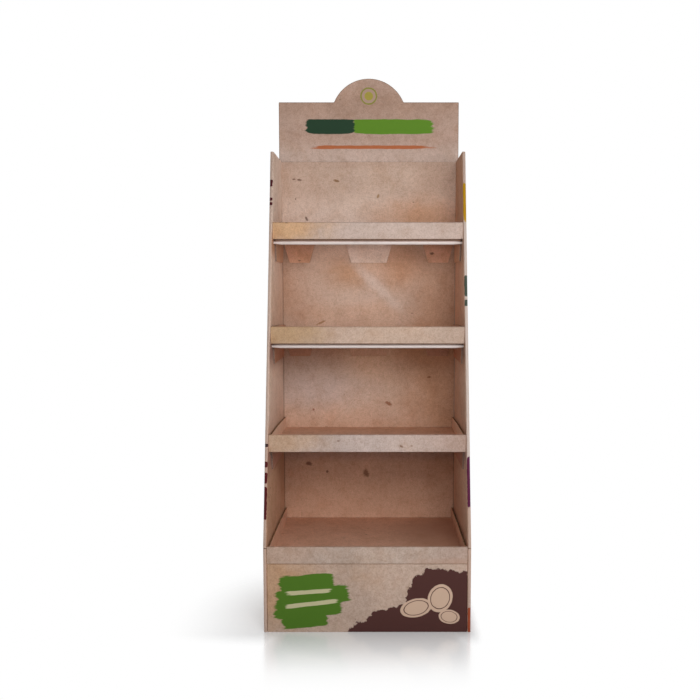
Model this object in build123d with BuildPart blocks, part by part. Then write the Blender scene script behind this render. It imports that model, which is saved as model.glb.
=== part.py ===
"""Floor-standing cardboard display stand: a folded body, a header card and four lipped product trays.

Millimetres, +Z up, front towards -Y. The origin is the middle of the footprint, on the floor.
"""

import os

from build123d import *

# Body: one sheet folded into the back, the outer sides, the front hems and the inner sides
WIDTH = 500.0
BODY_DEPTH = 395.0
WALL_TOP = 1178.0
TOP_SETBACK = 212.0
BOARD = 3.5
HEM_GAP = 1.0
HEM_SPLIT = 1.2
HEM_SPLIT_DROP = 3.0

# Header card, stuck behind the top of the back panel
HEADER_RISE = 163.0
HEADER_OVERLAP = 90.0
HEADER_SIDE_INSET = 1.0
HEADER_CORNER = 1.5
ARCH_RISE = 64.0
ARCH_RADIUS = 104.0
ARCH_THROAT = 3.0

# Trays, from the bottom one up
BASE_HEIGHT = 168.0
TRAY_PITCH = 262.0
LIP_HEIGHT = 42.0
LIP_GAP = 0.6
LIP_INSET = 1.0
FLANGE_GAP = 2.5
FLANGE_FRONT = 41.0
FLANGE_BACK = 33.0
FLANGE_CROWN = 2.5
FOLD_RADIUS = 3.0

# Supports under the three upper trays
SUPPORT_SETBACK = 14.0
FLAP_DROP = 55.0
FLAP_TAPER = 16.0
SIDE_FLAP_SPACE = 12.0
CORNER_FLAP = 88.0
CENTRE_FLAP = 131.0
BAR_SETBACK = 25.0
BAR_DIAMETER = 10.0
BAR_WALL = 1.2
BAR_END_GAP = 0.5
NECK_DIAMETER = 6.4
NECK_TAPER = 20.0

# Base under the bottom tray
RETURN_DEPTH = 80.0
LEDGE_DEPTH = 70.0
RIB_SPREAD = 240.0

# Clearances
FIT = 0.4
BAR_FIT = 0.2
LAP_FIT = 0.3

SIDE_WALL = 2 * BOARD + HEM_GAP
INNER_WIDTH = WIDTH - 2 * SIDE_WALL
SHEET_WIDTH = INNER_WIDTH - 2 * FIT
FRONT_Y = -(BODY_DEPTH + BOARD) / 2
BACK_Y = FRONT_Y + BODY_DEPTH
BACK_INNER_Y = BACK_Y - BOARD
SHEET_BACK_Y = BACK_INNER_Y - FIT
LEAN_START = BASE_HEIGHT + LIP_HEIGHT - HEM_SPLIT_DROP
HEADER_TOP = WALL_TOP + HEADER_RISE
LIP_THICKNESS = 2 * BOARD + LIP_GAP

LEVEL_NAMES = ("bottom", "lower", "middle", "top")
UPPER_LEVELS = range(1, len(LEVEL_NAMES))
BAR_LEVELS = range(2, len(LEVEL_NAMES))


def tray_height(level):
    """Height of the underside of a tray's floor."""
    return BASE_HEIGHT + level * TRAY_PITCH


def wall_front(height):
    """Y of the side walls' front edge at a height."""
    lean = TOP_SETBACK / (WALL_TOP - LEAN_START)
    return FRONT_Y + max(0.0, height - LEAN_START) * lean


def lip_front(level):
    """Y of a tray lip's front face, just inside the walls' front edge at the top of the lip."""
    return wall_front(tray_height(level) + LIP_HEIGHT) + LIP_INSET


def bar_centre(level):
    """Centre of a support bar, as (y, z), just under its support sheet."""
    height = tray_height(level) - BOARD - BAR_FIT - BAR_DIAMETER / 2
    return lip_front(level) + BAR_SETBACK, height


def make_body_wrap():
    """Fold the back panel, the sides and the rolled front hems from one sheet."""
    outer = -WIDTH / 2
    inner = outer + SIDE_WALL
    roll_radius = SIDE_WALL / 2
    roll_y = FRONT_Y + roll_radius
    with BuildPart() as wrap:
        with BuildSketch(Plane.XY) as hem_section:
            with BuildLine():
                Line((outer, BACK_Y), (outer, roll_y))
                ThreePointArc((outer, roll_y), (outer + roll_radius, FRONT_Y), (inner, roll_y))
                Line((inner, roll_y), (inner, BACK_Y))
                Line((inner, BACK_Y), (inner - BOARD, BACK_Y))
                Line((inner - BOARD, BACK_Y), (inner - BOARD, roll_y))
                ThreePointArc(
                    (inner - BOARD, roll_y), (outer + roll_radius, FRONT_Y + BOARD), (outer + BOARD, roll_y)
                )
                Line((outer + BOARD, roll_y), (outer + BOARD, BACK_Y))
                Line((outer + BOARD, BACK_Y), (outer, BACK_Y))
            make_face()
        extrude(amount=LEAN_START)
        with BuildSketch(Plane.XY.offset(LEAN_START)):
            add(hem_section.sketch)
        leaning_run = Vector(0, TOP_SETBACK, WALL_TOP - LEAN_START)
        extrude(amount=leaning_run.length, dir=leaning_run.normalized())

        # The leaning run is trimmed upright along the back, the inner layer a little shorter than the outer
        with Locations((outer, BACK_Y, LEAN_START)):
            Box(
                WIDTH,
                BODY_DEPTH,
                WALL_TOP,
                align=(Align.MIN, Align.MIN, Align.MIN),
                mode=Mode.SUBTRACT,
            )
        with Locations((outer + BOARD, SHEET_BACK_Y, 0)):
            Box(
                WIDTH,
                BODY_DEPTH,
                WALL_TOP,
                align=(Align.MIN, Align.MIN, Align.MIN),
                mode=Mode.SUBTRACT,
            )
        mirror(about=Plane.YZ)

        with Locations((0, BACK_Y, 0)):
            Box(WIDTH, BOARD, WALL_TOP, align=(Align.CENTER, Align.MAX, Align.MIN))
        rear_folds = wrap.edges().filter_by(Axis.Z).group_by(Axis.Y)[-1]
        fillet(rear_folds, FOLD_RADIUS)

        # The hem is split where the front edge starts to lean back
        with Locations((0, FRONT_Y, LEAN_START)):
            Box(
                WIDTH,
                roll_radius + FIT,
                HEM_SPLIT,
                align=(Align.CENTER, Align.MIN, Align.CENTER),
                mode=Mode.SUBTRACT,
            )

        # Each bar's ends pass through the inner layers only
        for level in BAR_LEVELS:
            bar_y, bar_z = bar_centre(level)
            with Locations(Location((0, bar_y, bar_z), (0, 90, 0))):
                Cylinder(NECK_DIAMETER / 2 + BAR_FIT, INNER_WIDTH + 2 * BOARD, mode=Mode.SUBTRACT)
    return wrap


def make_header_card():
    """Cut the flat header card with its round arch."""
    card_foot = WALL_TOP - HEADER_OVERLAP
    card_height = HEADER_TOP - card_foot
    with BuildPart() as card:
        with BuildSketch(Plane.XZ.offset(-BACK_Y)):
            with Locations((0, card_foot)):
                Rectangle(
                    WIDTH - 2 * HEADER_SIDE_INSET, card_height, align=(Align.CENTER, Align.MIN)
                )
            card_corners = vertices()
            with Locations((0, HEADER_TOP + ARCH_RISE - ARCH_RADIUS)):
                Circle(ARCH_RADIUS)
            throats = vertices().filter_by(lambda v: v not in card_corners)
            fillet(throats, ARCH_THROAT)
            fillet(vertices().group_by(Axis.X)[0] + vertices().group_by(Axis.X)[-1], HEADER_CORNER)
        extrude(amount=-BOARD)
    return card


def make_tray(level):
    """Fold one tray: floor, rolled double lip and two side flanges."""
    foot = tray_height(level)
    front = lip_front(level)
    lip_back = front + LIP_THICKNESS
    roll_radius = LIP_THICKNESS / 2
    roll_z = foot + LIP_HEIGHT - roll_radius
    floor_top = foot + BOARD
    half_floor = SHEET_WIDTH / 2 - FLANGE_GAP
    flange_start = lip_back + FIT
    flange_middle = foot + (FLANGE_FRONT + FLANGE_BACK) / 2 + FLANGE_CROWN
    with BuildPart() as tray:
        with BuildSketch(Plane.YZ):
            with BuildLine():
                Line((lip_back, foot), (front, foot))
                Line((front, foot), (front, roll_z))
                ThreePointArc((front, roll_z), (front + roll_radius, foot + LIP_HEIGHT), (lip_back, roll_z))
                Line((lip_back, roll_z), (lip_back, floor_top + FIT))
                Line((lip_back, floor_top + FIT), (lip_back - BOARD, floor_top + FIT))
                Line((lip_back - BOARD, floor_top + FIT), (lip_back - BOARD, roll_z))
                ThreePointArc(
                    (lip_back - BOARD, roll_z),
                    (front + roll_radius, foot + LIP_HEIGHT - BOARD),
                    (front + BOARD, roll_z),
                )
                Line((front + BOARD, roll_z), (front + BOARD, floor_top))
                Line((front + BOARD, floor_top), (lip_back, floor_top))
                Line((lip_back, floor_top), (lip_back, foot))
            make_face()
            fillet(vertices().group_by(Axis.Y)[0].sort_by(Axis.Z)[0], FOLD_RADIUS)
        extrude(amount=SHEET_WIDTH / 2, both=True)

        with Locations((0, SHEET_BACK_Y, foot)):
            Box(
                2 * half_floor,
                SHEET_BACK_Y - lip_back,
                BOARD,
                align=(Align.CENTER, Align.MAX, Align.MIN),
            )
        for side in (-1, 1):
            with BuildSketch(Plane.YZ.offset(side * half_floor)):
                with BuildLine():
                    Polyline(
                        (flange_start, foot + FLANGE_FRONT),
                        (flange_start, foot),
                        (SHEET_BACK_Y, foot),
                        (SHEET_BACK_Y, foot + FLANGE_BACK),
                    )
                    ThreePointArc(
                        (SHEET_BACK_Y, foot + FLANGE_BACK),
                        ((flange_start + SHEET_BACK_Y) / 2, flange_middle),
                        (flange_start, foot + FLANGE_FRONT),
                    )
                make_face()
            extrude(amount=-side * BOARD)
        flange_folds = (
            tray.edges()
            .filter_by(Axis.Y)
            .filter_by(lambda e: abs(e.center().Z - foot) < FIT)
            .filter_by(lambda e: abs(abs(e.center().X) - half_floor) < FIT)
        )
        fillet(flange_folds, FOLD_RADIUS)
    return tray


def make_support(level):
    """Fold the sheet under an upper tray: a flat top with flaps down the side walls and the back."""
    top = tray_height(level)
    panel_front = lip_front(level) + SUPPORT_SETBACK
    flap_front = bar_centre(level)[0] + SIDE_FLAP_SPACE
    half_sheet = SHEET_WIDTH / 2
    fold_side = half_sheet - BOARD
    fold_back = SHEET_BACK_Y - BOARD
    flap_foot = top - FLAP_DROP
    corner_middle = fold_side - FIT - CORNER_FLAP / 2
    back_flaps = ((-corner_middle, CORNER_FLAP), (0, CENTRE_FLAP), (corner_middle, CORNER_FLAP))
    with BuildPart() as support:
        with Locations((0, panel_front, top)):
            Box(
                2 * fold_side,
                fold_back - panel_front,
                BOARD,
                align=(Align.CENTER, Align.MIN, Align.MAX),
            )
        with BuildSketch(Plane.XZ.offset(-SHEET_BACK_Y)):
            for middle, width in back_flaps:
                Polygon(
                    (middle - width / 2, top),
                    (middle + width / 2, top),
                    (middle + width / 2 - FLAP_TAPER, flap_foot),
                    (middle - width / 2 + FLAP_TAPER, flap_foot),
                    align=None,
                )
        extrude(amount=BOARD)
        for side in (-1, 1):
            with BuildSketch(Plane.YZ.offset(side * half_sheet)):
                Polygon(
                    (flap_front, top),
                    (fold_back - FIT, top),
                    (fold_back - FIT - FLAP_TAPER, flap_foot),
                    (flap_front + FLAP_TAPER, flap_foot),
                    align=None,
                )
            extrude(amount=-side * BOARD)
        top_edges = support.edges().group_by(Axis.Z)[-1]
        side_folds = top_edges.filter_by(Axis.Y).filter_by(
            lambda e: abs(abs(e.center().X) - half_sheet) < FIT
        )
        back_folds = top_edges.filter_by(Axis.X).filter_by(
            lambda e: abs(e.center().Y - SHEET_BACK_Y) < FIT
        )
        fillet(side_folds + back_folds, FOLD_RADIUS)
    return support


def make_bar(level):
    """Form the coated steel tube under the front of an upper tray, its ends necked down to enter the walls."""
    bar_y, bar_z = bar_centre(level)
    radius = BAR_DIAMETER / 2
    neck = NECK_DIAMETER / 2
    tip = INNER_WIDTH / 2 + BOARD - BAR_END_GAP
    neck_x = INNER_WIDTH / 2 - FIT
    shoulder_x = neck_x - NECK_TAPER
    bar_axis = Axis((0, bar_y, bar_z), (1, 0, 0))
    with BuildPart() as bar:
        with BuildSketch(Plane((0, bar_y, bar_z), x_dir=(1, 0, 0), z_dir=(0, -1, 0))):
            Polygon(
                (-tip, neck),
                (-neck_x, neck),
                (-shoulder_x, radius),
                (shoulder_x, radius),
                (neck_x, neck),
                (tip, neck),
                (tip, neck - BAR_WALL),
                (neck_x, neck - BAR_WALL),
                (shoulder_x, radius - BAR_WALL),
                (-shoulder_x, radius - BAR_WALL),
                (-neck_x, neck - BAR_WALL),
                (-tip, neck - BAR_WALL),
                align=None,
            )
        revolve(axis=bar_axis)
    return bar


def make_base_front():
    """Fold the front of the base: a printed face with two side returns and a ledge for the bottom tray."""
    front = lip_front(0)
    ledge_width = SHEET_WIDTH - 2 * (BOARD + FIT)
    with BuildPart() as base:
        with Locations((0, front, 0)):
            Box(SHEET_WIDTH, BOARD, BASE_HEIGHT, align=(Align.CENTER, Align.MIN, Align.MIN))
        for side, outer_edge in ((-1, Align.MIN), (1, Align.MAX)):
            with Locations((side * SHEET_WIDTH / 2, front, 0)):
                Box(BOARD, RETURN_DEPTH, BASE_HEIGHT, align=(outer_edge, Align.MIN, Align.MIN))
        with Locations((0, front, BASE_HEIGHT)):
            Box(ledge_width, LEDGE_DEPTH, BOARD, align=(Align.CENTER, Align.MIN, Align.MAX))
        face_edges = base.edges().group_by(Axis.Y)[0]
        fillet(face_edges.filter_by(Axis.Z) + face_edges.group_by(Axis.Z)[-1], FOLD_RADIUS)
    return base


def rib_crossing():
    """Y of the cross rib's middle, halfway between the ledge and the back panel."""
    return (lip_front(0) + LEDGE_DEPTH + SHEET_BACK_Y) / 2


def make_cross_rib():
    """Cut the rib that spans the base, slotted from the top for the two long ribs."""
    with BuildPart() as rib:
        with BuildSketch(Plane.XZ.offset(-rib_crossing() - BOARD / 2)):
            Rectangle(SHEET_WIDTH, BASE_HEIGHT, align=(Align.CENTER, Align.MIN))
            with Locations((-RIB_SPREAD / 2, BASE_HEIGHT), (RIB_SPREAD / 2, BASE_HEIGHT)):
                Rectangle(
                    BOARD + 2 * LAP_FIT,
                    BASE_HEIGHT / 2,
                    align=(Align.CENTER, Align.MAX),
                    mode=Mode.SUBTRACT,
                )
        extrude(amount=BOARD)
    return rib


def make_long_rib(side):
    """Cut a front-to-back rib, slotted from the floor for the cross rib."""
    rib_front = lip_front(0) + LEDGE_DEPTH + FIT
    with BuildPart() as rib:
        with BuildSketch(Plane.YZ.offset(side * RIB_SPREAD / 2 - BOARD / 2)):
            with Locations((rib_front, 0)):
                Rectangle(SHEET_BACK_Y - rib_front, BASE_HEIGHT, align=(Align.MIN, Align.MIN))
            with Locations((rib_crossing(), 0)):
                Rectangle(
                    BOARD + 2 * LAP_FIT,
                    BASE_HEIGHT / 2 + LAP_FIT,
                    align=(Align.CENTER, Align.MIN),
                    mode=Mode.SUBTRACT,
                )
        extrude(amount=BOARD)
    return rib


def write_piece(piece, name):
    """Label a finished piece and write it as its own file."""
    piece.part.label = name
    export_step(piece.part, f"parts/{name}.step")


os.makedirs("parts", exist_ok=True)
write_piece(make_body_wrap(), "body_wrap")
write_piece(make_header_card(), "header_card")
write_piece(make_base_front(), "base_front")
write_piece(make_cross_rib(), "base_cross_rib")
write_piece(make_long_rib(-1), "base_left_rib")
write_piece(make_long_rib(1), "base_right_rib")
for level, level_name in enumerate(LEVEL_NAMES):
    write_piece(make_tray(level), f"{level_name}_tray")
for level in UPPER_LEVELS:
    write_piece(make_support(level), f"{LEVEL_NAMES[level]}_support")
for level in BAR_LEVELS:
    write_piece(make_bar(level), f"{LEVEL_NAMES[level]}_bar")
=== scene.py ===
"""Looks of a floor-standing cardboard display stand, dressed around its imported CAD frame.

Each folded sheet is a merged copy of its CAD solid. Its faces are sorted into printed paper, bare liner and
cut edge, the cut edges are crushed a little, and each kind of face gets its own finish.
Metres throughout, +Z up, front towards -Y.
"""

import logging
import math
from abc import ABC, abstractmethod
from collections.abc import Callable
from dataclasses import dataclass, field
from enum import Enum
from typing import ClassVar

import bpy
from bpy.types import Material, Node, NodeSocket, NodeTree, Object
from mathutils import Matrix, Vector


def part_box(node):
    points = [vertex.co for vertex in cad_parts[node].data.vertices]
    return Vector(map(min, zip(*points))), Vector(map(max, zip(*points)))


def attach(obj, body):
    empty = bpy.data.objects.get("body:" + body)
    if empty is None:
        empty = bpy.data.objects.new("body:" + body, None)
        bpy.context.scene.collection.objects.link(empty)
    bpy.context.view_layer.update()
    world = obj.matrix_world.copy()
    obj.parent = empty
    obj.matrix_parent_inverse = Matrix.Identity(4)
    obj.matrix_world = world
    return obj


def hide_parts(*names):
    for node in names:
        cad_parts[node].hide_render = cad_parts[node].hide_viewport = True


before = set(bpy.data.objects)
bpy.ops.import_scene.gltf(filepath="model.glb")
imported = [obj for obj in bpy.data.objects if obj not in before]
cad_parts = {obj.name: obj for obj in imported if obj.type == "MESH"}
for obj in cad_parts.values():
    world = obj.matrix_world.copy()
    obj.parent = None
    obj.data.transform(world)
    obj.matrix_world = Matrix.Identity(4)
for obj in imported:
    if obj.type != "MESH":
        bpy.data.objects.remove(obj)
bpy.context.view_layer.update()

MM = 0.001
ROOT_BODY = "root"
FAR = 1000.0
OCHRE = "BA8D62"
WALL_PAPER = "CEB3A2"
BOARD_MM = 3.5
LINER_MM = 0.45
CORE_DEPTH_MM = 1.5
CORE_SLOPE_MM = 0.02
WELD_MM = 0.01
SEAM_MM = 0.03
FLAT_ANGLE = math.radians(0.5)
SMOOTH_ANGLE = math.radians(35)
FLUTE_ANGLE = math.radians(60)
# Cosines above which a face looks along an axis, from squarely to barely
SQUARE_ON = 0.7
MOSTLY_ON = 0.5
PARTLY_ON = 0.4
ROUNDED_ON = 0.3
SLIGHTLY_ON = 0.2
BARELY_ON = 0.02
AHEAD = (0, -1, 0)
SIDES = ((-1, "left"), (1, "right"))
SMOOTH = {"interpolation_type": "SMOOTHSTEP"}
log = logging.getLogger("display_stand")

Triple = tuple[float, float, float]
Colour = tuple[float, float, float, float]


class FaceKind(Enum):
    """What a face of a corrugated sheet shows; the value is its material slot."""

    PRINTED = 0
    BARE = 1
    CUT = 2
    HOLLOW = 3


class InkShape(Enum):
    """Outline of one field of ink."""

    BLOT = "blot"
    BAR = "bar"


class Slot(Enum):
    """Names of the material slots."""

    PRINTED_BOARD = "printed_board"
    KRAFT_BOARD = "kraft_board"
    COATED_STEEL = "coated_steel"


FaceSorter = Callable[[Vector, Vector], FaceKind]


def linear(hex_colour: str) -> Colour:
    """Turn an sRGB hex colour to linear light.

    Args:
        hex_colour: Six hex digits.

    Returns:
        Red, green, blue and alpha for a shader socket.
    """
    channels = [int(hex_colour[i : i + 2], 16) / 255 for i in (0, 2, 4)]
    lit = [c / 12.92 if c <= 0.04045 else ((c + 0.055) / 1.055) ** 2.4 for c in channels]
    return (lit[0], lit[1], lit[2], 1.0)


def tinted(hex_colour: str, factor: float) -> str:
    """Make an sRGB colour paler or darker.

    Args:
        hex_colour: Six hex digits.
        factor: What each channel is multiplied by.

    Returns:
        The new colour's hex digits.
    """
    channels = [min(255, round(int(hex_colour[i : i + 2], 16) * factor)) for i in (0, 2, 4)]
    return "".join(f"{channel:02X}" for channel in channels)


def per_metre(size_mm: float) -> float:
    """Scale of a texture whose features are this many millimetres across."""
    return 1 / (size_mm * MM)


def metres(triple_mm: Triple) -> list[float]:
    """Turn three millimetre values to metres."""
    return [value * MM for value in triple_mm]


def add_node(tree: NodeTree, kind: str, sockets: dict | None = None, **settings: object) -> Node:
    """Add one shader node with its settings and links.

    Args:
        tree: Node tree that takes the node.
        kind: Blender's name for the node type, without its ShaderNode prefix.
        sockets: Values or output sockets for the node's inputs, by name or number.
        **settings: Properties of the node itself.

    Returns:
        The new node.
    """
    node = tree.nodes.new(f"ShaderNode{kind}")
    for name, value in settings.items():
        setattr(node, name, value)
    for key, value in (sockets or {}).items():
        if isinstance(value, NodeSocket):
            tree.links.new(value, node.inputs[key])
        else:
            node.inputs[key].default_value = value
    return node


def new_material(name: str) -> tuple[Material, NodeTree, NodeSocket]:
    """Make an empty node material.

    Args:
        name: Name of the finish.

    Returns:
        The material, its cleared node tree and its object coordinates.
    """
    material = bpy.data.materials.new(name)
    material.use_nodes = True
    tree = material.node_tree
    tree.nodes.clear()
    return material, tree, add_node(tree, "TexCoord").outputs["Object"]


class Layer(ABC):
    """Anything that is laid over a colour in a print."""

    blend: ClassVar[str] = "MIX"
    colour: str

    @abstractmethod
    def cover(self, tree: NodeTree, place: NodeSocket) -> NodeSocket:
        """Work out how fully the layer lies at a point.

        Args:
            tree: Node tree of the print.
            place: Object coordinates.

        Returns:
            The cover's socket, from 0 for none to 1 for all.
        """

    def tone(self) -> Colour:
        """Linear colour of the layer."""
        return linear(self.colour)

    def lay(self, tree: NodeTree, place: NodeSocket, under: object) -> NodeSocket:
        """Lay this over a colour.

        Args:
            tree: Node tree of the print.
            place: Object coordinates.
            under: Colour below, a socket or a value.

        Returns:
            The new colour's socket.
        """
        sockets = {"Factor": self.cover(tree, place), 6: under, 7: self.tone()}
        return add_node(tree, "Mix", sockets, data_type="RGBA", blend_type=self.blend).outputs[2]


class Cloudy(Layer):
    """A layer that soft noise spreads. Its kinds give the noise its size and strength."""

    size_mm: float
    low: float
    high: float
    detail: float
    roughness: float
    shift: Triple
    share: float = 1.0
    stretch: Triple = (1.0, 1.0, 1.0)

    def cover(self, tree: NodeTree, place: NodeSocket) -> NodeSocket:
        """Spread the layer by noise.

        Args:
            tree: Node tree of the print.
            place: Object coordinates.

        Returns:
            The cover's socket.
        """
        narrowed = [1 / s for s in self.stretch]
        moved = add_node(tree, "Mapping", {"Vector": place, "Location": self.shift, "Scale": narrowed})
        noise = {"Scale": per_metre(self.size_mm), "Detail": self.detail, "Roughness": self.roughness}
        clouds = add_node(tree, "TexNoise", {"Vector": moved.outputs[0], **noise})
        span = {"From Min": self.low, "From Max": self.high, "To Max": self.share}
        return add_node(tree, "MapRange", {"Value": clouds.outputs["Fac"], **span}, **SMOOTH).outputs[0]


@dataclass(frozen=True)
class Clouds(Cloudy):
    """Soft clouds of one colour.

    Attributes:
        colour: sRGB hex colour.
        size_mm: Size of the largest clouds.
        low: Noise value at which the colour starts.
        high: Noise value at which it is full.
        share: Its strength where full.
        detail: Octaves of finer clouds.
        roughness: Strength of the finer clouds.
        shift: Where in the noise this layer lies.
        stretch: Stretch of the clouds along each axis.
    """

    colour: str
    size_mm: float
    low: float
    high: float
    share: float = 1.0
    detail: float = 4.0
    roughness: float = 0.55
    shift: Triple = (0.0, 0.0, 0.0)
    stretch: Triple = (1.0, 1.0, 1.0)


@dataclass(frozen=True)
class Mottle(Cloudy):
    """Grain that tints the print below it.

    Attributes:
        size_mm: Size of the largest grains.
        low: Noise value at which the grain starts.
        high: Noise value at which it is full.
        tint: What each channel of the colour is multiplied by where the grain is full.
        detail: Octaves of finer grain.
        roughness: Strength of the finer grain.
        shift: Where in the noise this layer lies.
    """

    blend: ClassVar[str] = "MULTIPLY"

    size_mm: float
    low: float
    high: float
    tint: Triple
    detail: float
    roughness: float
    shift: Triple

    def tone(self) -> Colour:
        """What the grain multiplies the colour below by."""
        return (*self.tint, 1.0)


@dataclass(frozen=True)
class Flecks(Layer):
    """Sparse flecks with ragged outlines, one in some of the cells of an uneven net.

    Attributes:
        colour: sRGB hex colour.
        spacing_mm: Size of a cell.
        size_mm: Radius of a fleck.
        empty: Share of the cells that have no fleck.
        share: Strength of the colour.
        stretch: Stretch along each axis.
        rag: Size of the rags, as a share of the radius.
        push: How far the rags push the outline, as a share of the radius.
        rim: Where a fleck ends and where it is full, as shares of the radius.
    """

    colour: str
    spacing_mm: float
    size_mm: float
    empty: float
    share: float
    stretch: Triple = (1.5, 1.0, 1.0)
    rag: float = 1.6
    push: float = 2.4
    rim: tuple[float, float] = (2.0, 1.6)

    def cover(self, tree: NodeTree, place: NodeSocket) -> NodeSocket:
        """Scatter the flecks.

        Args:
            tree: Node tree of the print.
            place: Object coordinates.

        Returns:
            The cover's socket.
        """
        moved = add_node(tree, "Mapping", {"Vector": place, "Scale": [1 / s for s in self.stretch]})
        net = {"Vector": moved.outputs[0], "Scale": per_metre(self.spacing_mm)}
        cells = add_node(tree, "TexVoronoi", net)
        rags = {"Vector": place, "Scale": per_metre(self.size_mm * self.rag), "Detail": 3.0}
        wobble = add_node(tree, "TexNoise", rags)
        reach = self.size_mm / self.spacing_mm
        pushed = {0: wobble.outputs["Fac"], 1: reach * self.push, 2: cells.outputs["Distance"]}
        ragged = add_node(tree, "Math", pushed, operation="MULTIPLY_ADD")
        end, full = self.rim
        span = {"From Min": reach * end, "From Max": reach * full, "To Max": self.share}
        spot = add_node(tree, "MapRange", {"Value": ragged.outputs[0], **span}, **SMOOTH)
        draw = add_node(tree, "SeparateColor", {0: cells.outputs["Color"]})
        picked = add_node(tree, "Math", {0: draw.outputs["Red"], 1: self.empty}, operation="GREATER_THAN")
        both = {0: spot.outputs[0], 1: picked.outputs[0]}
        return add_node(tree, "Math", both, operation="MULTIPLY").outputs[0]


@dataclass(frozen=True)
class Creases(Layer):
    """Fine wandering crease lines of old parchment.

    Attributes:
        colour: sRGB hex colour.
        spacing_mm: Distance between the lines.
        width_mm: Width of a line.
        share: Strength of the colour.
        wander_m: How far a line strays.
        broken: Noise values at which a line starts and is full.
    """

    colour: str
    spacing_mm: float = 130.0
    width_mm: float = 1.6
    share: float = 0.22
    wander_m: float = 0.06
    broken: tuple[float, float] = (0.5, 0.62)

    def cover(self, tree: NodeTree, place: NodeSocket) -> NodeSocket:
        """Draw the crease lines.

        Args:
            tree: Node tree of the print.
            place: Object coordinates.

        Returns:
            The cover's socket.
        """
        stray = {"Vector": place, "Scale": per_metre(self.spacing_mm / 3), "Detail": 4.0}
        wander = add_node(tree, "TexNoise", stray)
        bend = {0: wander.outputs["Color"], 1: (self.wander_m,) * 3, 2: place}
        bent = add_node(tree, "VectorMath", bend, operation="MULTIPLY_ADD")
        cells = {"Vector": bent.outputs[0], "Scale": per_metre(self.spacing_mm)}
        net = add_node(tree, "TexVoronoi", cells, feature="DISTANCE_TO_EDGE")
        width = {"From Min": self.width_mm / self.spacing_mm, "From Max": 0.0, "To Max": self.share}
        line = add_node(tree, "MapRange", {"Value": net.outputs["Distance"], **width})
        start, full = self.broken
        gaps = {"Value": wander.outputs["Fac"], "From Min": start, "From Max": full}
        shown = add_node(tree, "MapRange", gaps, **SMOOTH)
        both = {0: line.outputs[0], 1: shown.outputs[0]}
        return add_node(tree, "Math", both, operation="MULTIPLY").outputs[0]


@dataclass(frozen=True)
class InkField(Layer):
    """One field of ink with a dry-brush edge.

    Attributes:
        colour: sRGB hex colour of the ink.
        centre_mm: Middle of the field in the object's frame.
        half_mm: Half sizes along its own axes.
        turn_deg: Turn of those axes.
        edge: Depth of the ragged edge, as a share of the half size.
        ragged_mm: Size of the rags.
        blur: Softness of the edge, as a share of the half size.
        share: Strength of the ink.
        shape: Outline of the field.
        stretch: How far the rags are drawn out along the field's own first axis, as by a dry brush.
        facing: Only faces that look this way take the ink, unless it is None.
        facing_span: Cosines at which a face starts to take the ink and takes all of it.
    """

    colour: str
    centre_mm: Triple
    half_mm: Triple
    turn_deg: Triple = (0.0, 0.0, 0.0)
    edge: float = 0.2
    ragged_mm: float = 18.0
    blur: float = 0.02
    share: float = 1.0
    shape: InkShape = InkShape.BLOT
    stretch: float = 1.0
    facing: Triple | None = None
    facing_span: tuple[float, float] = (0.35, 0.95)

    def cover(self, tree: NodeTree, place: NodeSocket) -> NodeSocket:
        """Draw the field.

        Args:
            tree: Node tree of the print.
            place: Object coordinates.

        Returns:
            The cover's socket.
        """
        turn = [math.radians(t) for t in self.turn_deg]
        brush = {"Vector": place, "Rotation": turn, "Scale": (self.stretch, 1, 1)}
        brushed = add_node(tree, "Mapping", brush, vector_type="TEXTURE").outputs[0]
        noise = {"Scale": per_metre(self.ragged_mm), "Detail": 5.0, "Roughness": 0.6}
        rags = add_node(tree, "TexNoise", {"Vector": brushed, **noise})
        push = {0: rags.outputs["Fac"], 1: self.edge * 2, 2: self._reach(tree, place, turn)}
        pushed = add_node(tree, "Math", push, operation="MULTIPLY_ADD").outputs[0]
        rim = 1.0 + self.edge
        span = {"From Min": rim + self.blur, "From Max": rim - self.blur, "To Max": self.share}
        inked = add_node(tree, "MapRange", {"Value": pushed, **span}, **SMOOTH).outputs[0]
        if self.facing is None:
            return inked
        normal = add_node(tree, "NewGeometry").outputs["Normal"]
        look = add_node(tree, "VectorMath", {0: normal, 1: self.facing}, operation="DOT_PRODUCT")
        start, full = self.facing_span
        taken = {"Value": look.outputs["Value"], "From Min": start, "From Max": full}
        turned = add_node(tree, "MapRange", taken).outputs[0]
        return add_node(tree, "Math", {0: inked, 1: turned}, operation="MULTIPLY").outputs[0]

    def _reach(self, tree: NodeTree, place: NodeSocket, turn: list[float]) -> NodeSocket:
        """Measure how far a point lies from the field's middle, 1 on its outline.

        Args:
            tree: Node tree of the print.
            place: Object coordinates.
            turn: Turn of the field's axes, in radians.

        Returns:
            The distance's socket.
        """
        own = {"Location": metres(self.centre_mm), "Rotation": turn, "Scale": metres(self.half_mm)}
        local = add_node(tree, "Mapping", {"Vector": place, **own}, vector_type="TEXTURE").outputs[0]
        if self.shape is InkShape.BLOT:
            return add_node(tree, "VectorMath", {0: local}, operation="LENGTH").outputs["Value"]
        # The length of the fourth powers gives a rounded bar
        squared = add_node(tree, "VectorMath", {0: local, 1: local}, operation="MULTIPLY").outputs[0]
        fourth = add_node(tree, "VectorMath", {0: squared, 1: squared}, operation="MULTIPLY").outputs[0]
        length = add_node(tree, "VectorMath", {0: fourth}, operation="LENGTH").outputs["Value"]
        return add_node(tree, "Math", {0: length, 1: 0.25}, operation="POWER").outputs[0]


def parchment(paper: str) -> tuple[Layer, ...]:
    """Clouds of the aged parchment that is printed all over the stand.

    Args:
        paper: Ground colour of the print.

    Returns:
        The layers, lowest first.
    """
    return (
        Clouds(tinted(paper, 1.07), 150, 0.42, 0.64, 0.85),
        Clouds(OCHRE, 210, 0.54, 0.72, 0.35, 5, 0.55, (3.1, 1.7, 0.9)),
    )


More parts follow.
